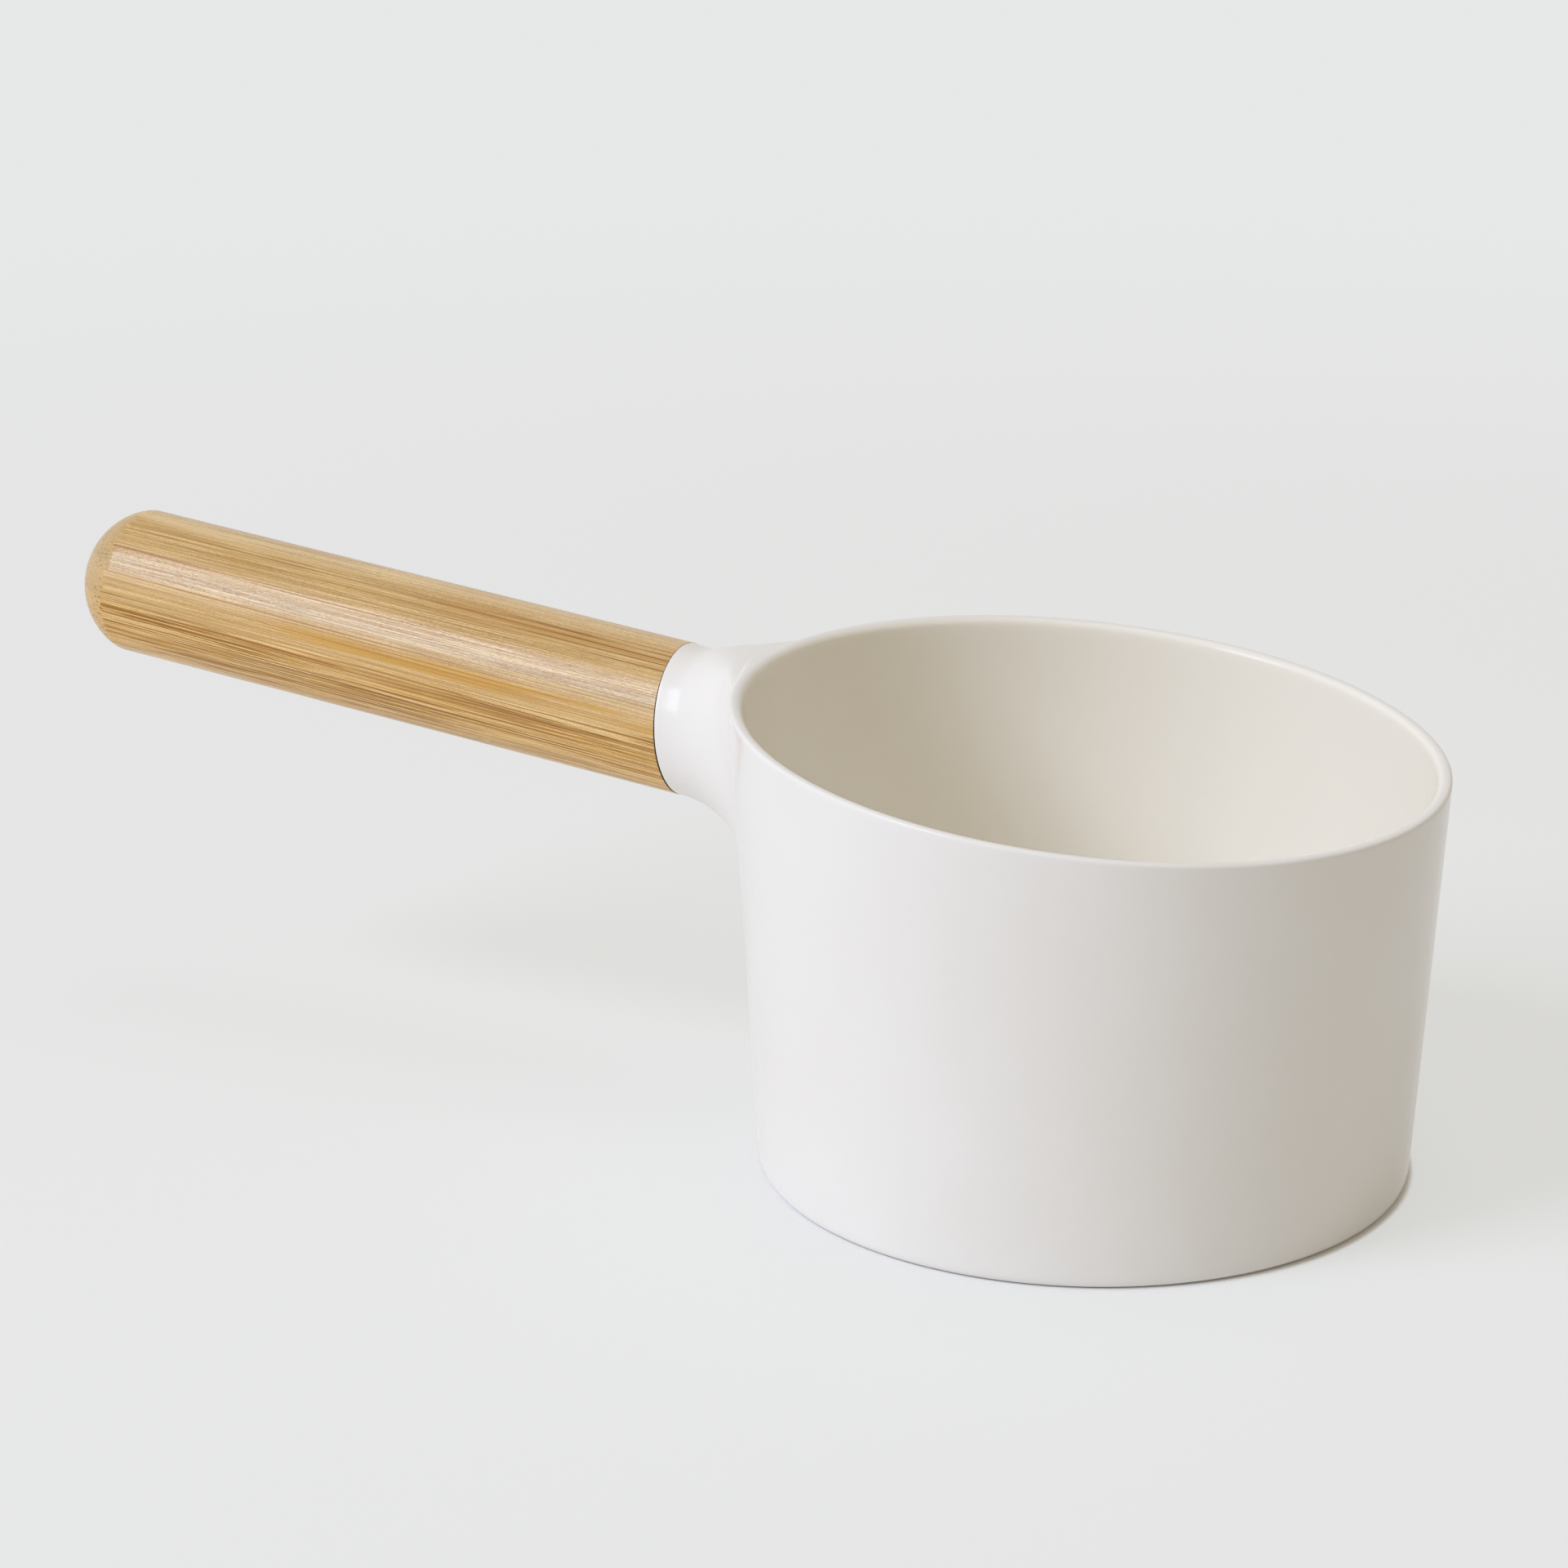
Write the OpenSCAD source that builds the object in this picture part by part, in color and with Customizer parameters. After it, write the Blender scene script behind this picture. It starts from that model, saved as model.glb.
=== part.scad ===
// Dipper-shaped serving ladle: a moulded white cup with a flared collar and a round handle of
// laminated bamboo. The cup stands on the table, its axis on +Z, and the handle points along -X.
// Millimetres.

/* [Cup] */
// Outside diameter at the rim, where the rim's plane crosses the cup's axis
rim_d = 120; // [100:1:150]
// Outside diameter at the base
base_d = 111; // [92:1:118]
// Height of the rim's plane above the table, on the cup's axis
cup_h = 76; // [62:1:100]
// Slope of the rim's plane, which rises towards the handle, in degrees
rim_slant = 5.4; // [0:0.2:9]
// Thickness of the wall
wall = 2.4; // [1.6:0.1:4]
// Thickness of the floor
floor_t = 2.8; // [1.6:0.1:5]
// Radius inside, between wall and floor
inner_round = 5; // [1:0.5:12]
// Radius outside, between wall and base
base_round = 1; // [0.4:0.1:2]
// Width of the ring that the cup stands on
foot_w = 6; // [3:0.5:14]
// Height of the hollow inside that ring
foot_rise = 0.8; // [0.3:0.1:2]

/* [Collar] */
// Length of the collar on the handle's axis, from the wall to the seam
collar_l = 15.4; // [14:0.2:24]
// Radius of the hollow flare between collar and wall
flare_r = 20; // [10:0.5:22]
// Depth of the collar's flat top below the rim
collar_drop = 0.3; // [0.2:0.1:1]
// Lean of the seam, outwards at its top, in degrees
seam_lean = 3.8; // [0:0.2:6]
// Thickness of the collar's shell at the seam
collar_wall = 2.8; // [1.8:0.1:4]
// Thickness left between the cup's outside and the hollows in the collar
hollow_floor = 4; // [2:0.5:6]

/* [Spigot inside the handle] */
// Outside diameter of the spigot
spigot_d = 12; // [9:0.5:13]
// Length of the spigot past the seam
spigot_l = 40; // [20:1:80]
// Diameter of the hollow in the spigot
core_d = 7; // [3:0.5:8]
// Bevel at the spigot's end
spigot_bevel = 1; // [0.4:0.1:1.5]
// Glue space between spigot and bore
glue_gap = 0.1; // [0.05:0.05:0.3]
// Room between the spigot's end and the bottom of the bore
bore_room = 3; // [1:0.5:10]

/* [Handle] */
// Diameter of the handle
handle_d = 26.2; // [22:0.2:30]
// Length of the bamboo on its axis, from the seam to the tip
handle_l = 122; // [90:1:180]
// Rise of the handle's axis, in degrees
handle_tilt = 6.1; // [0:0.1:10]
// Depth of the handle's crest below the rim's plane, at the rim
crest_drop = 1.9; // [1:0.1:8]
// Radius of the rounded end
end_round = 12.4; // [4:0.2:13]
// Thickness of one bamboo strip
strip_t = 6.6; // [6.4:0.1:9]
// Shadow gap between collar and bamboo
seam_gap = 0.3; // [0.1:0.1:0.6]

/* [Hidden] */
$fn = 96;
// The bamboo strips from the top of the handle to its underside
STRIPS = ["handle_top_strip", "handle_upper_strip", "handle_lower_strip", "handle_bottom_strip"];

white_plastic = [0.95, 0.95, 0.94];
bamboo_shades = [[0.84, 0.66, 0.41], [0.88, 0.69, 0.40], [0.78, 0.58, 0.33], [0.83, 0.66, 0.43]];

rim_r = rim_d / 2;
base_r = base_d / 2;
handle_r = handle_d / 2;
spigot_r = spigot_d / 2;
cut_over = 1;
reach = 2 * (rim_d + collar_l + handle_l + cup_h);

// The wall leans outwards by this slope and angle
taper = (rim_r - base_r) / cup_h;
lean = atan(taper);
wall_across = wall / cos(lean);

// The crown of a slanted ring, a little thicker than the wall, rounds the rim all the way round
rim_slope = tan(rim_slant);
rim_stretch = (1 / cos(rim_slant) - 1) * rim_r / 2;
rim_tube_r = 1.08 * (wall_across / 2 + rim_stretch);
rim_crown = 0.8 * rim_tube_r;
// The ring's plane meets the wall on the handle's side and, lower, on the far side
ring_wall_r = wall_x(cup_h - rim_tube_r / cos(rim_slant));
ring_near = ring_wall_r / (1 - taper * rim_slope);
ring_far = ring_wall_r / (1 + taper * rim_slope);
ring_shift = (ring_near - ring_far) / 2 / cos(rim_slant);
ring_r = ring_wall_r + rim_stretch - wall_across / 2;
cup_top = cup_h + 2 * rim_r * rim_slope + cut_over;

// Distances along the handle's axis start where that axis crosses the cup's axis
crest_z = cup_h + rim_r * rim_slope - crest_drop;
axis_z = crest_z - handle_r / cos(handle_tilt) - rim_r * tan(handle_tilt);
wall_at = wall_x(axis_z) / (cos(handle_tilt) - taper * sin(handle_tilt));
seam_at = wall_at + collar_l;
tip_at = seam_at + handle_l;
hollow_at = wall_at + hollow_floor;
seam_skew = handle_tilt + seam_lean;
seam_rise = handle_r * tan(seam_skew);

// The flare is the path of a ball that rolls between the collar and the round wall, sunk a little
wall_r = wall_at * cos(handle_tilt);
flare_sink = 0.6;
flare_lip_r = wall_r * (handle_r + flare_r) / (wall_r + flare_r);
flare_at = sqrt(pow(wall_r + flare_r, 2) - pow(handle_r + flare_r, 2)) / cos(handle_tilt) - flare_sink;

// Outside radius of the leaning wall at a height
function wall_x(z) = base_r + taper * z;

// Upper face of a strip, counted from the top, above the handle's axis
function strip_top(i) =
    i == 0 ? handle_r + cut_over
    : i == len(STRIPS) ? -handle_r - cut_over
    : (len(STRIPS) / 2 - i) * strip_t;

// Half section of a tapered cup, from a floor's height up, with its lower edge rounded
module cup_section(floor_z, edge_r, inset) {
    edge_z = floor_z + edge_r;
    edge_x = wall_x(edge_z) - (inset + edge_r) / cos(lean);
    translate([edge_x, edge_z]) circle(edge_r);
    polygon([
        [0, floor_z],
        [edge_x, floor_z],
        [edge_x + edge_r * cos(lean), edge_z - edge_r * sin(lean)],
        [wall_x(cup_top) - inset / cos(lean), cup_top],
        [0, cup_top]
    ]);
}

// Moves what is built round +Z onto the handle's axis; its +X then points up, square to the handle
module on_handle() {
    translate([0, 0, axis_z]) rotate([0, handle_tilt - 90, 0]) children();
}

// Space below the rim's plane, lowered by some depth
module below_rim(depth) {
    translate([0, 0, cup_h]) rotate([0, rim_slant, 0])
        translate([-reach / 2, -reach / 2, -reach - depth]) cube(reach);
}

// Ring that rounds the rim
module rim_ring() {
    translate([0, 0, cup_h]) rotate([0, rim_slant, 0]) translate([-ring_shift, 0, -rim_tube_r])
        rotate_extrude() translate([ring_r, 0]) circle(rim_tube_r);
}

// Space that starts some way past the seam; in the handle's frame
module past_seam(gap) {
    translate([0, 0, seam_at]) rotate([0, -seam_skew, 0])
        translate([-reach / 2, -reach / 2, gap]) cube(reach);
}

// Cup without its collar, solid inside
module cup_outside() {
    intersection() {
        rotate_extrude() cup_section(0, base_round, 0);
        union() {
            below_rim(rim_crown);
            rim_ring();
        }
    }
}

// Collar that grows out of the wall in a hollow flare, up to the seam; in the handle's frame
module collar_outside() {
    difference() {
        rotate_extrude() {
            square([handle_r, seam_at + seam_rise]);
            difference() {
                square([flare_lip_r, flare_at]);
                translate([handle_r + flare_r, flare_at]) circle(flare_r);
            }
        }
        past_seam(0);
    }
}

// Ring-shaped pocket that keeps the collar's shell even, open at the seam; in the handle's frame
module collar_pocket() {
    rotate_extrude() translate([spigot_r, hollow_at])
        square([handle_r - collar_wall - spigot_r, collar_l + seam_rise]);
}

// Spigot that the handle slides over; in the handle's frame
module spigot_outside() {
    spigot_end = seam_at + spigot_l;
    rotate_extrude() polygon([
        [0, wall_at],
        [spigot_r, wall_at],
        [spigot_r, spigot_end - spigot_bevel],
        [spigot_r - spigot_bevel, spigot_end],
        [0, spigot_end]
    ]);
}

// Cup, collar and spigot, moulded in one piece of white plastic
module cup() {
    color(white_plastic) difference() {
        union() {
            cup_outside();
            intersection() {
                on_handle() difference() {
                    collar_outside();
                    collar_pocket();
                }
                below_rim(collar_drop);
            }
            on_handle() spigot_outside();
        }
        rotate_extrude() cup_section(foot_rise + floor_t, inner_round, wall);
        translate([0, 0, -cut_over]) cylinder(r = base_r - foot_w, h = foot_rise + cut_over);
        on_handle() translate([0, 0, hollow_at]) cylinder(d = core_d, h = collar_l + spigot_l);
    }
}

// The handle before it is parted into strips, bored for the spigot; in the handle's frame
module handle_blank() {
    difference() {
        intersection() {
            rotate_extrude() intersection() {
                square([handle_r, tip_at]);
                union() {
                    square([handle_r, tip_at - end_round]);
                    square([handle_r - end_round, tip_at]);
                    translate([handle_r - end_round, tip_at - end_round]) circle(end_round);
                }
            }
            past_seam(seam_gap);
        }
        cylinder(r = spigot_r + glue_gap, h = seam_at + spigot_l + bore_room);
    }
}

// One flat bamboo strip of the glued-up handle, turned round with the others
module handle_strip(i) {
    color(bamboo_shades[i]) on_handle() intersection() {
        handle_blank();
        translate([strip_top(i + 1), -reach / 2, 0])
            cube([strip_top(i) - strip_top(i + 1), reach, reach]);
    }
}

cup();
handle_strip(0);
handle_strip(1);
handle_strip(2);
handle_strip(3);
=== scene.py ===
import math

import bmesh
import bpy
from mathutils import Matrix, Vector


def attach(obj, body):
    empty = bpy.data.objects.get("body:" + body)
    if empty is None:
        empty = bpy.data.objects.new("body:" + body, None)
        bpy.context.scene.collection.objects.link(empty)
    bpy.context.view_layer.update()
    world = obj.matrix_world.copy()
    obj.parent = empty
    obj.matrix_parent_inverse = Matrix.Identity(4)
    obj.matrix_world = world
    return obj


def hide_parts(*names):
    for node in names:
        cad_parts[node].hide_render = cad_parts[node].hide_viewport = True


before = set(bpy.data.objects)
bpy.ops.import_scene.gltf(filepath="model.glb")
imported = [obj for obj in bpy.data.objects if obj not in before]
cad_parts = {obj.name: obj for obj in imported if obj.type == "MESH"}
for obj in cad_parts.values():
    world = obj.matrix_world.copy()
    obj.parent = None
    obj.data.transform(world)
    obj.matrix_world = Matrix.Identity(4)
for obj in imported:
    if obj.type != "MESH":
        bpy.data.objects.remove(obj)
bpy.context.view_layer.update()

# The cup, its collar and the spigot inside the handle are one injection moulding of ivory-white
# plastic. The cup is turned from its half section and slanted at the rim, and the collar is drawn
# out of an opening in its wall, so that wall, flare and rim run into each other without a line.
MM = 0.001
NEAR = 0.02
MERGE_WITHIN = 1e-4
RIM_R = 60.0
BASE_R = 55.5
CUP_H = 76.0
RIM_SLANT = math.radians(5.4)
WALL = 2.4
FLOOR_T = 2.8
FOOT_W = 6.0
FOOT_RISE = 0.8
RIM_ROUND_OUT = 0.65
RIM_ROUND_IN = 1.35
BASE_ROUND = 1.4
FOOT_ROUND = 0.3
INNER_ROUND = 4.7
SLANT_FROM = 20.0

COLUMNS = 128
OUTER_ROWS = 25
INNER_ROWS = 9
FLOOR_RINGS = 5
OPENING_COLUMNS = 11
OPENING_FROM = 29.0
MELT_OUT = 1.2

HANDLE_R = 13.1
HANDLE_TILT = math.radians(6.1)
HANDLE_AXIS_Z = 60.185
SEAM_AT = 75.178
SEAM_SKEW = math.radians(9.9)
COLLAR_LIP = 2.1
LIP_SKEW = math.radians(3)
LIP_TAPER = 0.065
COLLAR_WALL = 2.8
POCKET_FROM = 63.778
SPIGOT_R = 6.0
SPIGOT_L = 40.0
SPIGOT_BEVEL = 1.0
CORE_R = 3.5
FLARE_LOOPS = 12
BALL_ROUNDS = 40
CREST_EASE = 1.2
CREST_CROWN_R = 100.0
CREST_LIFT = 1.1
CREST_CUT = 0.12
SEAM_EDGE = 0.07

TAPER = (RIM_R - BASE_R) / CUP_H
WALL_LEAN = math.atan(TAPER)
WALL_ACROSS = WALL / math.cos(WALL_LEAN)
RIM_SLOPE = math.tan(RIM_SLANT)
HANDLE_TURN = Matrix.Rotation(HANDLE_TILT - math.pi / 2, 4, "Y")
ON_HANDLE = Matrix.Translation((0, 0, HANDLE_AXIS_Z)) @ HANDLE_TURN


def wall_x(z):
    """Outside radius of the leaning wall at a height."""
    return BASE_R + TAPER * z


def half_section(corners, rounds, cuts):
    """Wire outline in the plane y = 0; rounds gives corners a radius, cuts parts the edge after one."""
    bm = bmesh.new()
    points = [Vector((x, 0, z)) for x, z in corners]
    verts = [bm.verts.new(point) for point in points]
    edges = [bm.edges.new(pair) for pair in zip(verts, verts[1:])]
    for number, count in cuts.items():
        bmesh.ops.subdivide_edges(bm, edges=[edges[number]], cuts=count)
    for number, (radius, segments) in rounds.items():
        corner = min(bm.verts, key=lambda vert: (vert.co - points[number]).length)
        bmesh.ops.bevel(
            bm, geom=[corner], offset=radius, segments=segments, profile=0.5, affect="VERTICES",
            material=-1,
        )
    return bm


def turn_round(bm, steps):
    """Turns a half section into a body round +Z."""
    bmesh.ops.spin(
        bm, geom=bm.verts[:] + bm.edges[:], cent=(0, 0, 0), axis=(0, 0, 1), dvec=(0, 0, 0),
        angle=2 * math.pi, steps=steps, use_merge=True,
    )
    bmesh.ops.remove_doubles(bm, verts=bm.verts[:], dist=MERGE_WITHIN)


def finished(bm, name):
    """Closes a piece modelled in millimetres and gives it an object in metres."""
    bmesh.ops.recalc_face_normals(bm, faces=bm.faces[:])
    bmesh.ops.scale(bm, vec=(MM, MM, MM), verts=bm.verts[:])
    mesh = bpy.data.meshes.new(name)
    bm.to_mesh(mesh)
    bm.free()
    mesh.shade_smooth()
    piece = bpy.data.objects.new(name, mesh)
    bpy.context.scene.collection.objects.link(piece)
    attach(piece, "root")
    return piece


inner_floor = FOOT_RISE + FLOOR_T
cup_bm = half_section(
    corners=[
        (0, FOOT_RISE),
        (BASE_R - FOOT_W, FOOT_RISE),
        (BASE_R - FOOT_W, 0),
        (BASE_R, 0),
        (RIM_R, CUP_H),
        (RIM_R - WALL_ACROSS, CUP_H),
        (wall_x(inner_floor) - WALL_ACROSS, inner_floor),
        (0, inner_floor),
    ],
    rounds={
        1: (FOOT_ROUND, 2),
        2: (FOOT_ROUND, 2),
        3: (BASE_ROUND, 3),
        4: (RIM_ROUND_OUT, 4),
        5: (RIM_ROUND_IN, 4),
        6: (INNER_ROUND, 6),
    },
    cuts={0: FLOOR_RINGS - 1, 3: OUTER_ROWS - 1, 5: INNER_ROWS - 1, 6: FLOOR_RINGS - 1},
)
turn_round(cup_bm, COLUMNS)

# The opening for the collar lies in the wall, below the rim's rounding
shoulder_z = CUP_H - RIM_ROUND_OUT
shoulder_r = RIM_R - RIM_ROUND_OUT


def in_opening(face):
    """Whether a face lies in the opening."""
    middle = face.calc_center_median()
    columns_off = abs(math.atan2(middle.y, -middle.x)) * COLUMNS / (2 * math.pi)
    outside = middle.xy.length > wall_x(middle.z) - RIM_ROUND_OUT
    return outside and OPENING_FROM < middle.z < shoulder_z and columns_off < OPENING_COLUMNS


def crown(y):
    """Depth of the collar's crowned top below the rim's plane, beside the handle's plane."""
    return y ** 2 / (2 * CREST_CROWN_R)


opened = [face for face in cup_bm.faces if in_opening(face)]
bmesh.ops.delete(cup_bm, geom=opened, context="FACES")

# Over the collar the rim's rounding opens out to the collar's crown, and then the rim is slanted
for vert in cup_bm.verts:
    radius = vert.co.xy.length
    if vert.co.x < 0 and vert.co.z > shoulder_z - NEAR and radius > shoulder_r - NEAR:
        melt = max(0, 1 - crown(vert.co.y) / RIM_ROUND_OUT)
        widened = (radius - shoulder_r) * (1 + melt * MELT_OUT / RIM_ROUND_OUT)
        vert.co.xy *= (shoulder_r + widened) / radius
        vert.co.z += (CUP_H - vert.co.z) * melt
    share = max(0, vert.co.z - SLANT_FROM) / (CUP_H - SLANT_FROM)
    lift = -vert.co.x * RIM_SLOPE * share
    radius = vert.co.xy.length
    if lift:
        vert.co.xy *= (radius + TAPER * lift) / radius
        vert.co.z += lift

# Each vertex of the open loop keeps its number, counted round the handle from the top
number_layer = cup_bm.verts.layers.int.new("collar_number")
crease_layer = cup_bm.edges.layers.float.new("crease_edge")
open_loop = [edge for edge in cup_bm.edges if edge.is_boundary]


def turn_at(point):
    """Angle of a point round the handle's axis, from the top."""
    local = ON_HANDLE.inverted() @ point
    return math.atan2(round(local.y, 4), local.x) % (2 * math.pi)


loop_verts = {vert for edge in open_loop for vert in edge.verts}
loop_verts = sorted(loop_verts, key=lambda vert: turn_at(vert.co))
for number, vert in enumerate(loop_verts):
    vert[number_layer] = number
start = [vert.co.copy() for vert in loop_verts]
start_turn = [turn_at(point) for point in start]
even_turn = [2 * math.pi * number / len(start) for number in range(len(start))]


def off_wall(point):
    """Distance of a point from the outside of the wall, and the direction away from it."""
    distance = (point.xy.length - wall_x(point.z)) * math.cos(WALL_LEAN)
    outward = Vector((point.x, point.y, 0)).normalized() * math.cos(WALL_LEAN)
    outward.z = -math.sin(WALL_LEAN)
    return distance, outward


def under_rim(point):
    """Eases a point down under the collar's top, which is crowned and touches the rim's plane."""
    depth = (CUP_H - point.x * RIM_SLOPE - point.z) * math.cos(RIM_SLANT) - crown(point.y)
    eased = (depth + math.hypot(depth, CREST_EASE)) / 2
    normal = Vector((math.sin(RIM_SLANT), 0, math.cos(RIM_SLANT)))
    return point + normal * (depth - eased)


def flare(turn, share):
    """Point of the hollow flare, where a ball touches the collar at share 0 and the wall at share 1."""
    away = Vector((math.cos(turn), math.sin(turn), 0))
    lip = COLLAR_LIP + HANDLE_R * away.x * (math.tan(SEAM_SKEW) - math.tan(LIP_SKEW))
    along = SEAM_AT + HANDLE_R * away.x * math.tan(SEAM_SKEW) - lip
    waist_r = HANDLE_R - lip * LIP_TAPER
    ball_r = HANDLE_R
    for _ in range(BALL_ROUNDS):
        ball = ON_HANDLE @ (away * (waist_r + ball_r) + Vector((0, 0, along)))
        ball_r, outward = off_wall(ball)
    inward = HANDLE_TURN @ -away
    point = ball + inward.slerp(-outward, share) * ball_r
    lift = CREST_LIFT * math.sin(math.pi * min(1, 2 * share)) * max(0, away.x) ** 2
    return under_rim(point + HANDLE_TURN @ away * lift)


def draw_out(loop, place, crease=0.0):
    """Extrudes the open loop to where place(number) puts each vertex, and returns the new loop."""
    made = bmesh.ops.extrude_edge_only(cup_bm, edges=loop)["geom"]
    for vert in made:
        if isinstance(vert, bmesh.types.BMVert):
            vert.co = place(vert[number_layer])
    new_loop = [edge for edge in made if isinstance(edge, bmesh.types.BMEdge) and edge.is_boundary]
    for edge in new_loop:
        edge[crease_layer] = crease
    return new_loop


def foot_share(turn):
    """Share at which the flare ends: on the wall, or sooner at the crest, cut off by the rim."""
    return 1 - CREST_CUT * max(0, math.cos(turn)) ** 2


def on_wall(number, share):
    """Point between the opening's edge and the foot of the flare, which leaves the wall softly."""
    turn = start_turn[number]
    foot = flare(turn, foot_share(turn))
    point = start[number].lerp(foot, share)
    proud_start, proud_foot = (end.xy.length - wall_x(end.z) for end in (start[number], foot))
    proud = proud_start + (proud_foot - proud_start) * share ** 2
    point.xy *= (wall_x(point.z) + proud) / point.xy.length
    return point


def ring_at(radius, along, slope=0.0):
    """Place of a ring round the handle's axis, square to it or parallel to the seam."""
    def place(number):
        up = radius * math.cos(even_turn[number])
        return ON_HANDLE @ Vector((up, radius * math.sin(even_turn[number]), along + up * slope))
    return place


def flare_loop(way):
    """Place of one loop of the flare, from its foot to the seam; the loops even out on the way."""
    def place(number):
        turn = start_turn[number] + (even_turn[number] - start_turn[number]) * way
        return flare(turn, foot_share(turn) * (1 - way))
    return place


for share in (1 / 3, 2 / 3):
    open_loop = draw_out(open_loop, lambda number: on_wall(number, share))
for step in range(FLARE_LOOPS + 1):
    open_loop = draw_out(open_loop, flare_loop(step / FLARE_LOOPS))

# The seam's edge is rounded, and its face runs in to the collar's pocket
seam_slope = math.tan(SEAM_SKEW)
mid_edge = 0.3 * SEAM_EDGE
for inset, back in ((0, SEAM_EDGE), (mid_edge, mid_edge), (SEAM_EDGE, 0), (COLLAR_WALL, 0)):
    open_loop = draw_out(open_loop, ring_at(HANDLE_R - inset, SEAM_AT - back, seam_slope))
spigot_end = SEAM_AT + SPIGOT_L
for radius, along in (
    (HANDLE_R - COLLAR_WALL, POCKET_FROM),
    (SPIGOT_R, POCKET_FROM),
    (SPIGOT_R, spigot_end - SPIGOT_BEVEL),
    (SPIGOT_R - SPIGOT_BEVEL, spigot_end),
    (CORE_R, spigot_end),
    (CORE_R, POCKET_FROM),
):
    open_loop = draw_out(open_loop, ring_at(radius, along), crease=1.0)
bmesh.ops.edgeloop_fill(cup_bm, edges=open_loop)

cup = finished(cup_bm, "cup_moulding")
smooth = cup.modifiers.new("smooth", "SUBSURF")
smooth.levels = 1
smooth.render_levels = 1
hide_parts("cup")


class Value:
    """A shader socket: arithmetic on it adds Math nodes to its material."""

    def __init__(self, socket):
        self.socket = socket

    def node(self, kind, settings=None, sockets=None, out=0):
        """Adds a node, with its settings first and then its sockets' values or links."""
        tree = self.socket.id_data
        made = tree.nodes.new("ShaderNode" + kind)
        for name, setting in (settings or {}).items():
            if name == "stops":
                ramp = made.color_ramp
                while len(ramp.elements) < len(setting):
                    ramp.elements.new(0.5)
                for element, (place, colour) in zip(ramp.elements, setting):
                    element.position = place
                    element.color = (*colour, 1)
            else:
                setattr(made, name, setting)
        for name, source in (sockets or {}).items():
            if isinstance(source, Value):
                tree.links.new(source.socket, made.inputs[name])
            else:
                made.inputs[name].default_value = source
        return Value(made.outputs[out])

    def math(self, operation, *operands):
        return self.node("Math", {"operation": operation}, dict(enumerate(operands)))

    def __add__(self, other):
        return self.math("ADD", self, other)

    def __sub__(self, other):
        return self.math("SUBTRACT", self, other)

    def __rsub__(self, other):
        return self.math("SUBTRACT", other, self)

    def __mul__(self, other):
        return self.math("MULTIPLY", self, other)

    def __truediv__(self, other):
        return self.math("DIVIDE", self, other)

    __radd__ = __add__
    __rmul__ = __mul__

    def step(self, low, high):
        """0 below low, 1 above high, with a smooth rise between."""
        span = {"Value": self, "From Min": low, "From Max": high}
        return self.node("MapRange", {"interpolation_type": "SMOOTHSTEP"}, span)

    def noise(self, size, detail=2.0, roughness=0.5):
        """Noise from 0 to 1 on this vector, with features of about a size."""
        sockets = {"Vector": self, "Scale": 1 / size, "Detail": detail, "Roughness": roughness}
        return self.node("TexNoise", None, sockets)

    def mix(self, first, second, blend="MIX"):
        """Colour between two, by this share."""
        return self.node(
            "Mix", {"data_type": "RGBA", "blend_type": blend}, {0: self, 6: first, 7: second}, out=2
        )


def new_finish(name):
    """A material with its surface shader and the object's own coordinates."""
    material = bpy.data.materials.new(name)
    material.use_nodes = True
    shader = material.node_tree.nodes["Principled BSDF"]
    place = Value(material.node_tree.nodes.new("ShaderNodeTexCoord").outputs["Object"])
    return material, shader, place


def feed(shader, **sources):
    """Links values to a shader's sockets, or sets them; Base_Color stands for Base Color."""
    for name, source in sources.items():
        socket = shader.inputs[name.replace("_", " ")]
        if isinstance(source, Value):
            shader.id_data.links.new(source.socket, socket)
        else:
            socket.default_value = source


PLASTIC_PALE = (0.885, 0.872, 0.842, 1)
PLASTIC_DEEP = (0.868, 0.850, 0.812, 1)
# Painted light: a paler, warmer copy of the plastic for the inside of the cup, standing in for bounce
# light
PAINTED_INSIDE_BOUNCE = (0.935, 0.905, 0.830, 1)
INSIDE_DEPTH = (0.5 * WALL * MM, 0.9 * WALL * MM)
INSIDE_HEIGHT = (FOOT_RISE * MM, inner_floor * MM)

# Painted light: the inside is painted paler and warmer than the outside, standing in for bounce light
# inside the cup, and the tint changes on top of the rim
plastic, shader, place = new_finish("ivory_plastic")
axes = place.node("SeparateXYZ", None, {"Vector": place}).socket.node.outputs
height = Value(axes["Z"])
off_axis = place.node("VectorMath", {"operation": "MULTIPLY"}, {0: place, 1: (1, 1, 0)})
radius = off_axis.node("VectorMath", {"operation": "LENGTH"}, {0: off_axis}, out=1)
in_wall = BASE_R * MM + TAPER * height - radius
bounce_paint = in_wall.step(*INSIDE_DEPTH) * height.step(*INSIDE_HEIGHT)
cloud = place.noise(0.035, detail=3)
orange_peel = place.noise(0.0035, detail=2)
pores = place.noise(0.0006, detail=1)
texture = orange_peel * 0.6 + pores * 0.4
feed(
    shader,
    Base_Color=bounce_paint.mix(cloud.step(0.3, 0.7).mix(PLASTIC_PALE, PLASTIC_DEEP), PAINTED_INSIDE_BOUNCE),
    Roughness=0.12 + 0.08 * cloud,
    Normal=texture.node("Bump", None, {"Strength": 0.08, "Distance": 0.0004, "Height": texture}),
    IOR=1.49,
    Specular_IOR_Level=0.16,
)
cup.data.materials.append(plastic)

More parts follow.
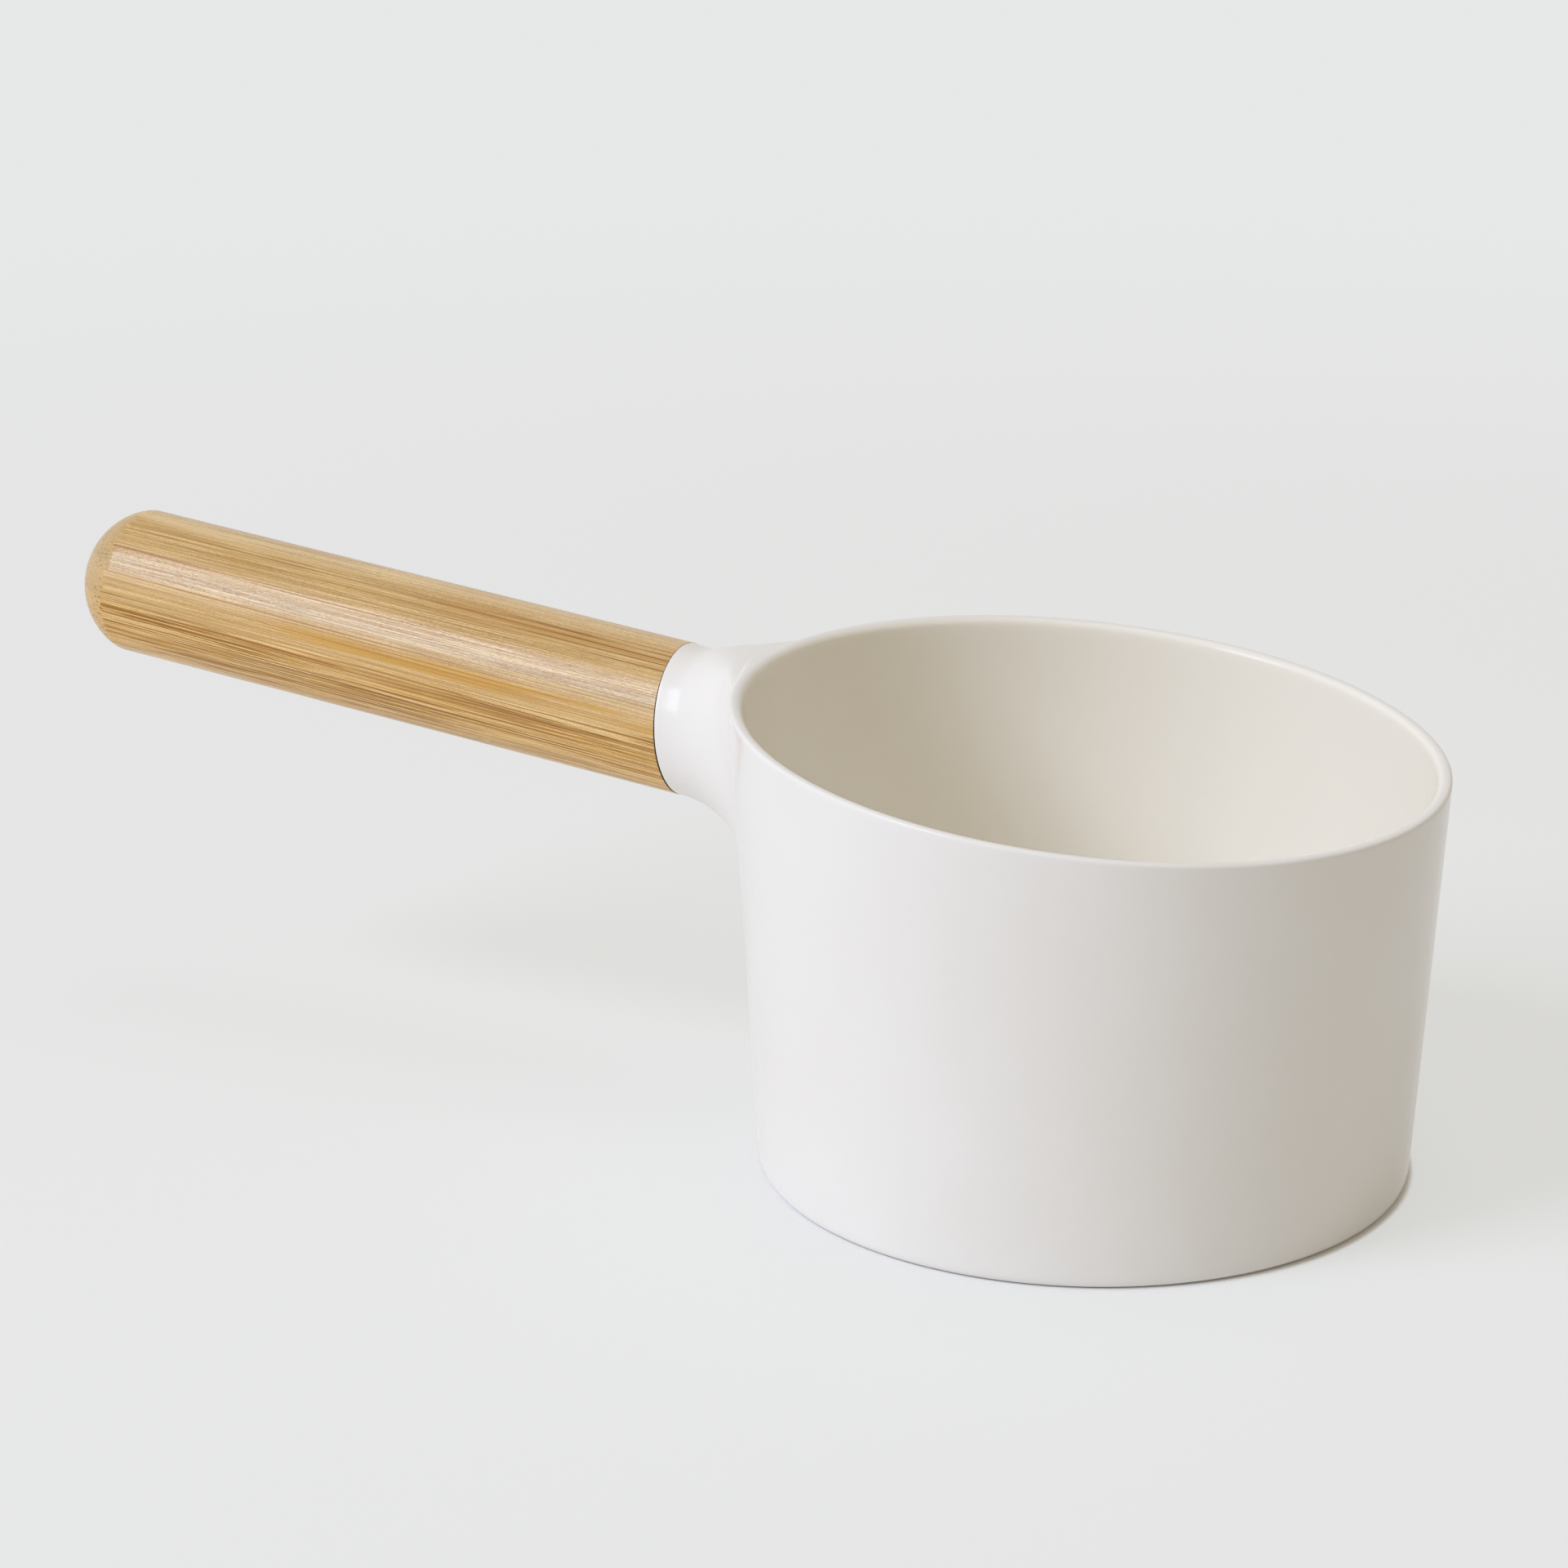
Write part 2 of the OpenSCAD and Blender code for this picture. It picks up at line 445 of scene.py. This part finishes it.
# The handle is four flat bamboo strips, glued face to face, bored for the spigot, turned to a round
# bar with a domed end, sanded and varnished. The grain runs lengthwise, so that its fibres show as
# lines along the handle and as dots on the dome.
HANDLE_L = 122.0
DOME_L = 9.5
DOME_EDGE = 0.6
STRIP_T = 6.6
SEAM_GAP = 0.18
SEAM_OPENS = math.radians(0.7)
BORE_R = 6.1
BORE_ROOM = 3.0
SEAM_ROUND = 0.07
HANDLE_STEPS = 288
CUT_WITHIN = 1e-5
SHARP_FROM = math.radians(8)

tip_at = SEAM_AT + HANDLE_L
dome_at = tip_at - DOME_L
bore_end = SEAM_AT + SPIGOT_L + BORE_ROOM
# The dome is part of a ball, and its tangents at the tip and at the edge meet in one corner
dome_r = (HANDLE_R ** 2 + DOME_L ** 2) / (2 * DOME_L)
dome_corner = dome_r * math.tan(math.atan2(HANDLE_R, dome_r - DOME_L) / 2)
blank = half_section(
    corners=[
        (0, bore_end),
        (BORE_R, bore_end),
        (BORE_R, SEAM_AT - HANDLE_R),
        (HANDLE_R, SEAM_AT - HANDLE_R),
        (HANDLE_R, dome_at - 2 * DOME_EDGE),
        (HANDLE_R, dome_at),
        (dome_corner, tip_at),
        (0, tip_at),
    ],
    rounds={5: (DOME_EDGE, 6), 6: (dome_corner - 1.1 * DOME_EDGE, 24)},
    cuts={},
)
turn_round(blank, HANDLE_STEPS)

cut_skew = SEAM_SKEW - SEAM_OPENS
seam_normal = Vector((-math.sin(cut_skew), 0, math.cos(cut_skew)))
cut_at = Vector((0, 0, SEAM_AT)) + seam_normal * SEAM_GAP
bmesh.ops.bisect_plane(
    blank, geom=blank.verts[:] + blank.edges[:] + blank.faces[:], dist=CUT_WITHIN,
    plane_co=cut_at, plane_no=seam_normal, clear_inner=True,
)
seam_edges = [edge for edge in blank.edges if edge.is_boundary]
bmesh.ops.bridge_loops(blank, edges=seam_edges)
outer_seam = [edge for edge in seam_edges if edge.verts[0].co.xy.length > HANDLE_R - NEAR]
bmesh.ops.bevel(
    blank, geom=outer_seam, offset=SEAM_ROUND, segments=3, profile=0.5, affect="EDGES", material=-1
)
bmesh.ops.recalc_face_normals(blank, faces=blank.faces[:])


def part_strip(above, below):
    """The blank between two glue faces, given by their heights over the handle's axis."""
    bm = blank.copy()
    for height, side in ((above, "clear_outer"), (below, "clear_inner")):
        if abs(height) < HANDLE_R:
            bmesh.ops.bisect_plane(
                bm, geom=bm.verts[:] + bm.edges[:] + bm.faces[:], dist=CUT_WITHIN,
                plane_co=(height, 0, 0), plane_no=(1, 0, 0), **{side: True},
            )
            cut = [edge for edge in bm.edges if edge.is_boundary]
            bmesh.ops.edgeloop_fill(bm, edges=cut)
    bmesh.ops.transform(bm, matrix=ON_HANDLE, verts=bm.verts[:])
    for edge in bm.edges:
        edge.smooth = edge.calc_face_angle(0) < SHARP_FROM
    return bm


THREAD_DARK = (0.310, 0.125, 0.006, 1)
THREAD_PALE = (0.930, 0.690, 0.360, 1)
SPECKLE_DARK = (0.330, 0.175, 0.045, 1)
VEIN_DARK = (0.240, 0.082, 0.003, 1)
VEIN_RED = (0.330, 0.105, 0.018, 1)
STAIN = (0.660, 0.355, 0.055, 1)
STAIN_DARK = (0.460, 0.190, 0.020, 1)
END_GRAIN = (0.580, 0.410, 0.200, 1)
# Painted shade for the seam gap: a near-black colour put where the gap is in shade
SEAM_SHADE_PAINT = (0.070, 0.035, 0.012, 1)
SEAM_SHADE_DEPTH = 0.04

THREAD_W = 0.21
STRAND_W = 0.55
SPECKLE_W = 0.17
GRIT_W = 0.13
CLOUD_W = 2.4
BUNDLES_PER_MM = 2.5
DOTS_PER_MM = 1.15
BAND_DRIFT = 1.6
VEIN_DRIFT = 0.5
VEIN_FADE = 9
END_GRAIN_SHARE = 0.55
DOT_SHARE = 0.65
GRIT_SHARE = 0.21
DOME_FADE = (HANDLE_L - DOME_L - 0.3, HANDLE_L - DOME_L + 0.9)


def bamboo(name, seed, lean, bands, threads, speckles, veins):
    """Varnished bamboo of one strip: bands across it, some with painted sheen, threads, strands,
    bundles, specks, veins and painted shade in the seam.
    """
    material, shader, place = new_finish(name)
    handle_frame = {
        "Vector": place,
        "Location": (0, 0, HANDLE_AXIS_Z * MM),
        "Rotation": (0, HANDLE_TILT, 0),
        "Scale": (MM, MM, MM),
    }
    handle_mm = place.node("Mapping", {"vector_type": "TEXTURE"}, handle_frame)
    axes = handle_mm.node("SeparateXYZ", None, {"Vector": handle_mm}).socket.node.outputs
    along = Value(axes["X"])
    across = Value(axes["Y"])
    up = Value(axes["Z"]) - (along + (SEAM_AT + HANDLE_L / 2)) * lean

    def grain(stretch, offset=0.0):
        """Vector in millimetres, shortened along the grain."""
        sockets = {"X": along / stretch + (seed + offset), "Y": across, "Z": up}
        return along.node("CombineXYZ", None, sockets)

    # Bands of colour across the strip, which waver a little; some carry painted sheen and painted
    # highlight tint
    drift = grain(55).noise(5.0, detail=2) - 0.5
    level = (up + drift * BAND_DRIFT + HANDLE_R) / (2 * HANDLE_R)
    stops = [((height + HANDLE_R) / (2 * HANDLE_R), colour) for height, colour in bands]
    colour = level.node("ValToRGB", {"stops": stops}, {"Fac": level})

    # The dome cuts the fibres across, so that they show as dots on end grain
    from_seam = 0 - along - SEAM_AT
    on_side = 1 - from_seam.step(*DOME_FADE)
    colour = (END_GRAIN_SHARE - END_GRAIN_SHARE * on_side).mix(colour, END_GRAIN)
    dots_at = grain(3.0, 7.0)
    dot_cells = {"Vector": dots_at, "Scale": DOTS_PER_MM}
    dots = 1 - dots_at.node("TexVoronoi", {"feature": "F1"}, dot_cells).step(0.13, 0.25)
    colour = ((1 - on_side) * dots * DOT_SHARE).mix(colour, THREAD_DARK)

    # Fibres along the side: wide strands, fine threads, dark bundles and short specks
    cloud = grain(22, 11.0).noise(CLOUD_W, detail=2).step(0.35, 0.65)
    thread = grain(150, 2.0).noise(THREAD_W, detail=2, roughness=0.6)
    dark_thread = thread.step(0.49, 0.55)
    pale_thread = 1 - thread.step(0.41, 0.46)
    strand = grain(190, 13.0).noise(STRAND_W, detail=1)
    dark_strand = strand.step(0.54, 0.62)
    pale_strand = 1 - strand.step(0.38, 0.46)
    cells = grain(170, 3.0)
    bundles = {"Vector": cells, "Scale": BUNDLES_PER_MM}
    bundle_off = cells.node("TexVoronoi", {"feature": "F1"}, bundles)
    bundle_tone = cells.node("TexVoronoi", {"feature": "F1"}, bundles, out=1)
    bundle = (1 - bundle_off.step(0.26, 0.38)) * bundle_tone.step(0.15, 0.75)
    speckle = grain(4.5, 5.0).noise(SPECKLE_W, detail=2, roughness=0.65).step(0.50, 0.62)
    grit = grain(1.8, 9.0).noise(GRIT_W, detail=1).step(0.40, 0.62)
    colour = (pale_strand * (0.38 * threads ** 2) * on_side).mix(colour, THREAD_PALE)
    colour = (dark_strand * (0.30 * threads ** 2) * on_side).mix(colour, THREAD_DARK)
    colour = (pale_thread * (0.45 + 0.35 * threads) * on_side).mix(colour, THREAD_PALE)
    colour = (grit * GRIT_SHARE).mix(colour, SPECKLE_DARK)
    colour = (speckle * (0.3 + 0.7 * cloud) * speckles).mix(colour, SPECKLE_DARK)
    colour = (dark_thread * (0.58 + 0.27 * cloud) * threads * on_side).mix(colour, THREAD_DARK)
    colour = (bundle * (0.25 + 0.65 * threads)).mix(colour, THREAD_DARK)

    # Placed veins, faded at their ends and broken here and there
    for height, half_width, first, last, share, vein_colour in veins:
        off = up - height + drift * VEIN_DRIFT
        vein = 1 - off.math("ABSOLUTE", off).step(0.4 * half_width, half_width)
        begun = from_seam.step(first - VEIN_FADE, first + VEIN_FADE)
        ended = from_seam.step(last - VEIN_FADE, last + VEIN_FADE)
        broken = grain(14, height).noise(2.0).step(0.25, 0.5)
        colour = (vein * (begun * (1 - ended)) * broken * on_side * share).mix(colour, vein_colour)

    # Painted shade: the cut face in the seam and a thin edge beside it are painted near black, for the
    # shade deep in the seam gap
    from_cut = from_seam - Value(axes["Z"]) * math.tan(cut_skew) - SEAM_GAP
    colour = (1 - from_cut.step(0.0, SEAM_SHADE_DEPTH)).mix(colour, SEAM_SHADE_PAINT)

    relief = thread * 0.6 - speckle * 0.4
    feed(
        shader,
        Base_Color=colour,
        Roughness=0.45 - 0.12 * thread,
        Normal=relief.node("Bump", None, {"Strength": 0.3, "Distance": 0.0003, "Height": relief}),
        Specular_IOR_Level=0.25,
        Coat_Weight=0.46 - 0.22 * speckle - 0.14 * dark_thread,
        Coat_Roughness=0.16,
    )
    return material


# A strip has a seed and lean of its grain, how much its threads and speckles cover, its veins and
# its bands. A vein is its height over the handle's axis and half width, where it starts and ends
# from the seam, how much it covers, and its colour. A band is a height and a colour.
STRIPS = {
    "handle_top_strip": dict(
        seed=3.0, lean=-0.004, threads=0.40, speckles=0.40,
        veins=[
            (8.9, 0.16, 92, 130, 0.8, VEIN_RED),
            (12.3, 1.25, -10, 48, 0.38, STAIN_DARK),
            (12.4, 0.10, -10, 32, 0.8, VEIN_DARK),
            (11.9, 0.09, -10, 26, 0.8, VEIN_DARK),
            (11.4, 0.10, -10, 34, 0.7, VEIN_DARK),
            (10.7, 0.09, -10, 20, 0.7, VEIN_DARK),
            (11.9, 0.12, 30, 100, 0.5, VEIN_DARK),
        ],
        # The pale band at 12.9 is partly the pale fine-lined grain and partly painted sheen on the top
        # of the handle; the greyer band at 6.6 is painted highlight tint under the handle's highlight
        bands=[(6.6, (0.58, 0.42, 0.22)), (8.6, (0.66, 0.44, 0.18)), (12.2, (0.67, 0.44, 0.16)),
               (12.9, (0.94, 0.70, 0.35))],
    ),
    "handle_upper_strip": dict(
        seed=21.0, lean=-0.011, threads=0.34, speckles=0.28,
        veins=[
            (2.6, 1.70, -10, 75, 0.65, STAIN),
            (3.3, 0.12, -10, 60, 0.8, STAIN_DARK),
            (2.6, 0.11, 5, 90, 0.7, STAIN_DARK),
            (2.0, 0.10, -10, 50, 0.6, STAIN_DARK),
            (4.4, 0.14, 35, 130, 0.6, VEIN_RED),
            (0.5, 0.14, 90, 130, 0.8, VEIN_DARK),
        ],
        # The greyer band at 6.2 is painted highlight tint under the handle's highlight
        bands=[(0.2, (0.73, 0.48, 0.19)), (2.0, (0.75, 0.49, 0.20)), (4.4, (0.78, 0.56, 0.29)),
               (6.2, (0.60, 0.43, 0.22))],
    ),
    "handle_lower_strip": dict(
        seed=47.0, lean=-0.016, threads=1.0, speckles=0.2,
        veins=[
            (-1.7, 0.22, -10, 105, 0.8, VEIN_RED),
            (-1.2, 0.30, -10, 40, 0.6, VEIN_DARK),
            (-0.8, 0.12, 60, 130, 0.8, VEIN_DARK),
            (-3.4, 0.16, 88, 130, 0.6, VEIN_DARK),
            (-5.0, 0.14, 15, 90, 0.8, VEIN_DARK),
            (-5.5, 0.12, 5, 80, 0.7, VEIN_DARK),
        ],
        bands=[(-6.4, (0.88, 0.51, 0.135)), (-3.0, (0.94, 0.58, 0.18)), (-0.2, (0.92, 0.59, 0.22))],
    ),
    "handle_bottom_strip": dict(
        seed=83.0, lean=-0.012, threads=0.95, speckles=0.25,
        veins=[
            (-7.3, 0.14, 30, 85, 0.8, VEIN_DARK),
            (-7.9, 0.12, 20, 95, 0.7, VEIN_DARK),
            (-10.5, 0.14, -10, 60, 0.6, VEIN_DARK),
        ],
        bands=[(-12.6, (1.00, 0.67, 0.24)), (-9.5, (1.00, 0.61, 0.17)), (-6.8, (0.91, 0.53, 0.13))],
    ),
}

half_count = len(STRIPS) // 2
for number, (node, grain_of_strip) in enumerate(STRIPS.items()):
    above = HANDLE_R if number == 0 else STRIP_T * (half_count - number)
    below = -HANDLE_R if number == len(STRIPS) - 1 else STRIP_T * (half_count - 1 - number)
    name = node.replace("handle", "bamboo")
    strip = finished(part_strip(above, below), name)
    strip.data.materials.append(bamboo(name, **grain_of_strip))
    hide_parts(node)
blank.free()

# Studio: a wide pale floor, an even pale surround, one large softbox above and to the left of the
# camera, whose reflection lies along the handle, and a weak panel overhead.
FLOOR_COLOUR = (0.930, 0.932, 0.926, 1)
FLOOR_SEEN = (0.799, 0.812, 0.808, 1)
FLOOR_HALF = 6.0
FLOOR_FLAT_NEAR = 0.68
FLOOR_FADE = (0.25, 0.9)
FLOOR_CONTACT = (0.0554, 0.0566)
SURROUND_LIGHT = (0.385, 0.338, 0.262, 1)
SURROUND_SEEN = (0.80, 0.81, 0.81, 1)
SOFTBOX_SIZE = (0.80, 1.32)
SOFTBOX_AT = Vector((-1.028, -1.400, 1.558))
SOFTBOX_AIM = Vector((-0.13, 0.0, 0.07))
SOFTBOX_POWER = 30.2
SOFTBOX_COLOUR = (0.91, 0.99, 1.20)
PANEL_SIZE = 0.6
PANEL_AT = (0.05, 0.10, 1.3)
PANEL_POWER = 1.8


def seen_rays(tree):
    """1 for rays from the camera, and for those reflected by a gloss or passed by glass."""
    rays = tree.nodes.new("ShaderNodeLightPath").outputs
    reflected = Value(rays["Is Glossy Ray"]) + Value(rays["Is Transmission Ray"])
    seen = Value(rays["Is Camera Ray"]) + reflected
    return seen.math("MINIMUM", seen, 1.0)


floor_bm = bmesh.new()
bmesh.ops.create_grid(floor_bm, x_segments=1, y_segments=1, size=FLOOR_HALF)
floor_mesh = bpy.data.meshes.new("floor")
floor_bm.to_mesh(floor_mesh)
floor_bm.free()
floor = bpy.data.objects.new("floor", floor_mesh)
bpy.context.scene.collection.objects.link(floor)
paper, shader, place = new_finish("pale_paper")
feed(shader, Base_Color=FLOOR_COLOUR, Roughness=0.9, Specular_IOR_Level=0.1)
tree = paper.node_tree
away = place.node("VectorMath", {"operation": "LENGTH"}, {0: place}, out=1)
flat = FLOOR_FLAT_NEAR + (1 - FLOOR_FLAT_NEAR) * away.step(*FLOOR_FADE)
flat = flat * away.step(*FLOOR_CONTACT)
glow = place.node("Emission", None, {"Color": FLOOR_SEEN})
lit = Value(shader.outputs["BSDF"])
mixed = flat.node("MixShader", None, {0: flat * seen_rays(tree), 1: lit, 2: glow})
tree.links.new(mixed.socket, tree.nodes["Material Output"].inputs["Surface"])
floor.data.materials.append(paper)

world = bpy.data.worlds.new("surround")
bpy.context.scene.world = world
world.use_nodes = True
background = world.node_tree.nodes["Background"]
feed(background, Color=seen_rays(world.node_tree).mix(SURROUND_LIGHT, SURROUND_SEEN))

lamp = bpy.data.lights.new("softbox", "AREA")
lamp.shape = "RECTANGLE"
lamp.size, lamp.size_y = SOFTBOX_SIZE
lamp.energy = SOFTBOX_POWER
lamp.color = SOFTBOX_COLOUR
softbox = bpy.data.objects.new("softbox", lamp)
bpy.context.scene.collection.objects.link(softbox)
back = (SOFTBOX_AT - SOFTBOX_AIM).normalized()
handle_way = (HANDLE_TURN @ Vector((0, 0, 1))) * -1
side = (handle_way - back * handle_way.dot(back)).normalized()
turn = Matrix((side, back.cross(side), back)).transposed().to_4x4()
softbox.matrix_world = Matrix.Translation(SOFTBOX_AT) @ turn

panel_lamp = bpy.data.lights.new("panel", "AREA")
panel_lamp.size = PANEL_SIZE
panel_lamp.energy = PANEL_POWER
panel = bpy.data.objects.new("panel", panel_lamp)
panel.location = PANEL_AT
bpy.context.scene.collection.objects.link(panel)

CAMERA_AT = (0.24085, -0.63359, 0.287906)
CAMERA_TURN = (71.876, 0.0, 25.135)
CAMERA_LENS = 97.933
SENSOR = 36.0

camera_data = bpy.data.cameras.new("camera")
camera_data.lens = CAMERA_LENS
camera_data.sensor_width = SENSOR
camera = bpy.data.objects.new("camera", camera_data)
camera.location = CAMERA_AT
camera.rotation_euler = [math.radians(angle) for angle in CAMERA_TURN]
bpy.context.scene.collection.objects.link(camera)
bpy.context.scene.camera = camera
bpy.context.scene.view_settings.view_transform = "Standard"
